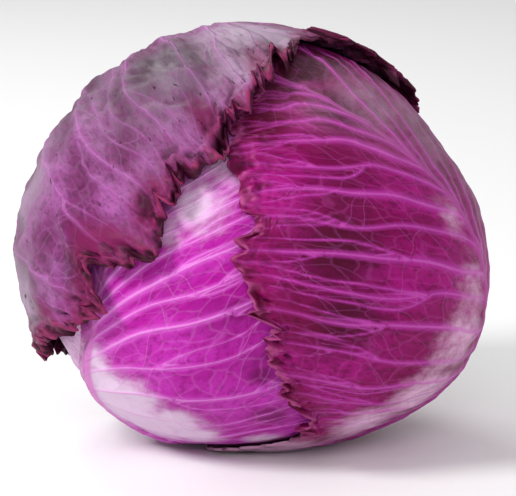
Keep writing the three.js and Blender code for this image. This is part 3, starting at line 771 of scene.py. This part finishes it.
# In the leaves' colours, crest is the painted highlight on the tops of the rim's folds, and a strength sets
# the painted shade in their hollows.
PLAIN = dict(glow=0.8, line=0.55, crease_shade=0.5, knocks=0.15, rim_share=0.25, edge_share=0.35, edge_mm=3)
MAGENTA = leaf_material("inner red cabbage leaf", dict(
    PLAIN, deep="#9A0A84", blade="#AE2CA0", dark="#6E0058", halo="#BE4CB4", pale="#CBB2CA", vein="#D88ED2",
    rib="#BE62AE", rim="#9A1882", edge="#8A2A60", crest="#A84C86"))
CRIMSON = leaf_material("outer red cabbage leaf", dict(
    PLAIN, deep="#74004A", blade="#960E70", dark="#3A0016", halo="#A42C90", pale="#D8B0CE", vein="#C25AB2",
    rib="#A4408E", rim="#6A0A38", rim_share=0.4, edge="#520828", crest="#A84A80", edge_share=0.7, edge_mm=5,
    bloom="#A79AA4", bloom_shade="#8A6A80", crease_shade=0.8))
BLOOMED = leaf_material("waxed wrapper leaf", dict(
    PLAIN, deep="#621A50", blade="#8E4486", dark="#280416", halo="#A24C9C", pale="#9A7A98", vein="#B47AB0",
    rib="#B07EAC", rim="#6A0E40", rim_share=0.7, edge="#2A0316", crest="#7E2450", edge_share=0.95, edge_mm=8,
    bloom="#9A8E9A", bloom_shade="#4E3E4A", knocks=0.9, glow=0.45, line=0.4, crease_shade=1.0), roughness=0.5)
PALE = leaf_material("pale inner leaf", dict(
    PLAIN, deep="#C58DBE", blade="#D9B0D4", dark="#A0559A", halo="#E3C4DF", pale="#EFE2EE", vein="#F0D9EC",
    rib="#F2E6EF", rim="#C58DBE", edge="#A8608F", crest="#C58DBE"))
for made in (MAGENTA, CRIMSON, BLOOMED, PALE):
    print(made.name, len(made.node_tree.nodes), "nodes")

# %% [markdown]
# The leaves are laid from the inside out. Each has its own finish: how high its ridges stand, how
# torn and folded its rim is, patches where the pigment is thin or covered with wax, and patches of
# painted shade; on the wrapper leaf two of the pale patches are painted light instead.

# %% lay the leaves
QUICK_SHARE = 1.0
CALM = dict(slot="leaf", crest_mm=2.4, round=1.0, ridge=0.8, pucker=0.35, quilt=0.0, wrinkle=0.1, tear=0.8,
            lobe_mm=6, fold=0.2, fold_mm=5, spikes=(), knots=())
LOOKS = {
    "leaf_left": dict(CALM, grid=(130, 40, 60), material=PALE, slot="inner_leaf"),
    "leaf_back": dict(CALM, grid=(150, 60, 60), material=CRIMSON),
    "leaf_front": dict(CALM, grid=(220, 30, 150), material=MAGENTA, ridge=0.7, wrinkle=0.0,
                       pale=((-50, -24, 8, 0.75), (-52, -36, 13, 1.0), (-46, -48, 13, 1.0),
                             (-28, -54, 10, 0.8), (-66, -44, 11, 0.9), (-40, -36, 10, 0.8),
                             (-30, -46, 10, 0.8),
                             (-14, 20, 10, 0.6), (-8, 31, 10, 0.55), (-22, 13, 7, 0.5), (5, -60, 7, 0.7)),
                       # Painted shadows cast on this leaf along the right leaf's lifted, torn rim.
                       shade=((-8, -8, 11, 0.6), (-22, -2, 9, 0.45), (2, -20, 8, 0.6), (-4, -6, 4, 1.1),
                              (2, -25, 4, 1.1), (6, -42, 5, 1.3))),
    "leaf_right": dict(CALM, grid=(236, 124, 80), material=CRIMSON, ridge=1.0, pucker=0.6, wrinkle=0.2,
                       tear=2.4, lobe_mm=7, fold=1.6, fold_mm=5,
                       knots=((0, 5.8, 0.3, 5.5, 11), (0, 4.7, 0.3, 4.5, 9), (0, 3.75, 0.4, 6, 12),
                              (0, 7.1, 0.25, 2, 9)),
                       pale=((67, -6, 12, 0.4), (63, -20, 14, 0.55), (58, -34, 14, 0.65), (46, -48, 12, 0.75),
                             (60, 12, 9, 0.35), (-20, -72, 26, 1.0), (15, -62, 12, 0.8)),
                       # Painted shade: across the middle of this leaf where it turns from the light, in dark
                       # gaps along its torn left rim, and as the black shadow under the wrapper leaf's lifted
                       # rim at the crown.
                       shade=((20, 8, 16, 0.9), (22, -8, 13, 0.9), (14, -22, 7, 0.4), (24, 24, 13, 0.6),
                              (0, -6, 3.5, 1.4), (5, -23, 3, 1.2), (10, -38, 4, 1.4), (2, 43, 8, 1.3),
                              (8, 57, 8, 2.2), (30, 66, 9, 2.2), (60, 68, 8, 2.0), (88, 56, 6, 1.6),
                              (32, 45, 12, 0.9)),
                       bloom=((75, 36, 15, 0.9), (92, 18, 15, 0.8), (54, 47, 13, 0.9), (24, 48, 9, 0.35))),
    "leaf_top": dict(CALM, grid=(260, 70, 114), material=BLOOMED, slot="bloomed_leaf", crest_mm=3.6,
                     round=0.2, ridge=2.6, pucker=1.0, quilt=3.4, wrinkle=0.4, tear=7, lobe_mm=9,
                     fold=3.0, fold_mm=9,
                     spikes=((1, 3.6, 0.8, 5), (0, 9.5, 2.2, 6), (0, 12, 1.5, 6), (1, 11.5, 0.8, 4)),
                     knots=((1, 7.6, 0.3, 2.0, 13), (1, 9.0, 0.5, 3.5, 14), (1, 10.3, 0.6, 5.0, 15),
                            (1, 11.4, 0.6, 4.0, 15), (1, 4.0, 0.4, 1.5, 10), (0, 9.6, 0.8, 3, 10),
                            (0, 11.3, 0.9, 3.5, 10)),
                     # The pale patches at azimuths -80 and -76 are painted light, where the head's left side
                     # faces the light; they lighten the wax there.
                     pale=((-16, 82, 16, 0.7), (-4, 60, 9, 0.5), (-80, 15, 14, 0.5), (-76, -10, 14, 0.6)),
                     bloom=((-90, 42, 26, 0.95), (-88, 12, 24, 0.95), (-78, -10, 19, 0.95),
                            (-45, 58, 28, 1.0), (-150, 40, 50, 0.9), (150, 40, 50, 0.9),
                            (20, 75, 24, 1.0), (-150, -20, 40, 0.7)),
                     # Painted shade: dark patches on this leaf's face, the largest on its faceted crown.
                     shade=((-45, 2, 8, 0.8), (-70, -16, 9, 0.7), (-25, 26, 5, 0.5), (-52, 60, 12, 1.0),
                            (-60, 45, 7, 0.6))),
}
for name, looks in LOOKS.items():
    blade = lay_leaf(name, looks, QUICK_SHARE)
    blade.data.materials.append(looks["material"])
    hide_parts(name)
    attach(blade, "root")

# %% [markdown]
# Under the outer leaves lies the tight head, whose own leaves lap in shallow steps. It shows only in
# cracks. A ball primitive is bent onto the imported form, with a well at its foot for the stalk.

# %% the tight inner head
WELL_ANGLE, STALK_DEPTH = 11.5, 12.0
INNER_FOLDS, FOLD_TWIST, FOLD_DEPTH = 3, 0.35, 1.2
WELL_POLE, WELL_WALL = 20, 0.2
SMOOTH_BALL = math.radians(45)


def new_ball(name, segments, rings):
    """A ball whose poles will lie on the stalk's axis: its angles from the pole and round it."""
    bpy.ops.object.select_all(action="DESELECT")
    bpy.ops.mesh.primitive_uv_sphere_add(segments=segments, ring_count=rings, radius=1)
    ball = bpy.context.object
    ball.name = ball.data.name = name
    places = np.empty(len(ball.data.vertices) * 3)
    ball.data.vertices.foreach_get("co", places)
    x, y, z = places.reshape(-1, 3).T
    return ball, np.degrees(np.arccos(np.clip(z, -1, 1))), np.degrees(np.arctan2(x, y))


def finish_ball(ball, d, radius, marks):
    ball.data.vertices.foreach_set("co", ((CENTRE + d * radius[:, None]) * MM).reshape(-1))
    for label, values in marks.items():
        layer = ball.data.attributes.new(label, "FLOAT", "POINT")
        layer.data.foreach_set("value", values.astype(np.float32))
    ball.data.update()
    bpy.ops.object.shade_smooth_by_angle(angle=SMOOTH_BALL)
    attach(ball, "root")
    print(ball.name, len(ball.data.polygons), "faces")


tight, from_pole, turn = new_ball("tight_head", 162, 72)
in_well = from_pole < WELL_POLE + 0.1
inside = from_pole / WELL_POLE * (WELL_ANGLE - WELL_WALL)
outside = WELL_ANGLE + (from_pole - WELL_POLE) / (180 - WELL_POLE) * (180 - WELL_ANGLE)
angle = np.where(in_well, inside, outside)
lap = ((turn - FOLD_TWIST * angle) * INNER_FOLDS / 360) % 1
d = rays_from_stalk(angle, turn)
sunk = np.where(in_well, STALK_DEPTH, FOLD_DEPTH * lap * np.sin(np.radians(angle)))
finish_ball(tight, d, layer_radius(d, 0, 0) - sunk, dict(lap=lap, angle=angle))
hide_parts("inner_head")

# %% [markdown]
# The stalk was cut across with a knife. The face shows pale pith, a ring of woody bundles, and a thin
# purple rind, and has begun to dry. A ball is squared off into a plug: the part near one pole becomes
# the flat face, the middle the rind, and the rest the root end, so there is no seam.

# %% the cut stalk
STALK_FACE_ANGLE, STALK_CLEARANCE = 10.8, 0.4
FACE_RIM, FACE_END, RIND_END = 74.0, 80.0, 104.0
WOOD_RING, BUNDLE_HEIGHT, KNIFE_DEPTH = 0.68, 0.25, 0.12

plug, from_pole, turn = new_ball("stalk_plug", 96, 60)
across_face = np.interp(from_pole, [0, FACE_RIM, FACE_END, RIND_END, 180], [0, 0.975, 1, 1, 0])
down = np.interp(from_pole, [0, FACE_RIM, FACE_END, RIND_END, 180], [0, 0, 0.03, 1, 1])
d = rays_from_stalk(STALK_FACE_ANGLE * across_face, turn)
face, root = CENTRE[2] / -d[:, 2], packed_radius(d) - STALK_DEPTH + STALK_CLEARANCE
on_ring = np.exp(-(((across_face - WOOD_RING) / 0.06) ** 2))
bundles = BUNDLE_HEIGHT * on_ring * (0.5 + 0.5 * np.sin(np.radians(turn) * 17))
knife = KNIFE_DEPTH * (1 + np.sin(d[:, 0] * 300)) * (across_face < 0.95)
radius = face + (root - face) * down - (down < 0.01) * (knife + BUNDLE_HEIGHT - bundles)
finish_ball(plug, d, radius, dict(ring=across_face))
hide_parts("stalk")

# %% [markdown]
# The inner leaves are pale with purple streaks from stalk to crown, and lighter at each lapped edge.
# The cut face is drawn from its rings: the distance from the middle is an attribute of the plug.

# %% inner materials
def grown_material(title, roughness):
    material = bpy.data.materials.new(title)
    material.use_nodes = True
    shader = material.node_tree.nodes["Principled BSDF"]
    shader.inputs["Roughness"].default_value = roughness
    shader.inputs["Specular IOR Level"].default_value = 0.2
    return material, partial(add_node, material.node_tree), shader


tight_leaf, add, shader = grown_material("tight inner leaves", 0.45)
# Streaks are 4 mm wide and veins 9 mm apart at the widest place.
streak = add("TexNoise", {"Vector": add("TexCoord", out="Object"), "Scale": 250, "Detail": 4})
lapped = add("Attribute", attribute_name="lap", out="Fac")
veins = add("Math", (add("Math", (lapped, 105.0), **TIMES),), operation="SINE")
veins = add("MapRange", (veins, 0.8, 1, 0, 0.6), **SOFT)
colour = add("Mix", {0: streak, 6: "#8A2F7C", 7: "#C987BF"}, **BLEND)
colour = add("Mix", {0: veins, 6: colour, 7: "#E8CBE3"}, **BLEND)
step = add("MapRange", (lapped, 0.06, 0, 0, 0.7), **SOFT)
colour = add("Mix", {0: step, 6: colour, 7: "#F0DFEC"}, **BLEND)
tight_leaf.node_tree.links.new(colour, shader.inputs["Base Color"])
tight.data.materials.append(tight_leaf)

cut_stalk, add, shader = grown_material("cut cabbage stalk", 0.7)
ring = add("Attribute", attribute_name="ring", out="Fac")
# Fibres are cut into dots about 0.6 mm across.
fibre = add("TexNoise", {"Vector": add("TexCoord", out="Object"), "Scale": 1600, "Detail": 3})
wander = add("Math", (ring, add("MapRange", (fibre, 0.3, 0.7, -0.03, 0.03))), **PLUS)
colour = add("Mix", {0: fibre, 6: "#C9BB94", 7: "#EBE3CC"}, **BLEND)
beside = add("Math", (add("Math", (wander, -WOOD_RING), **PLUS),), operation="ABSOLUTE")
wood = add("MapRange", (beside, 0.03, 0.09, 0.7, 0), **SOFT)
colour = add("Mix", {0: wood, 6: colour, 7: "#B59A8E"}, **BLEND)
rind = add("MapRange", (wander, 0.8, 0.97), **SOFT)
colour = add("Mix", {0: rind, 6: colour, 7: "#B07AA6"}, **BLEND)
cut_stalk.node_tree.links.new(colour, shader.inputs["Base Color"])
plug.data.materials.append(cut_stalk)
print("inner materials:", tight_leaf.name, "and", cut_stalk.name)
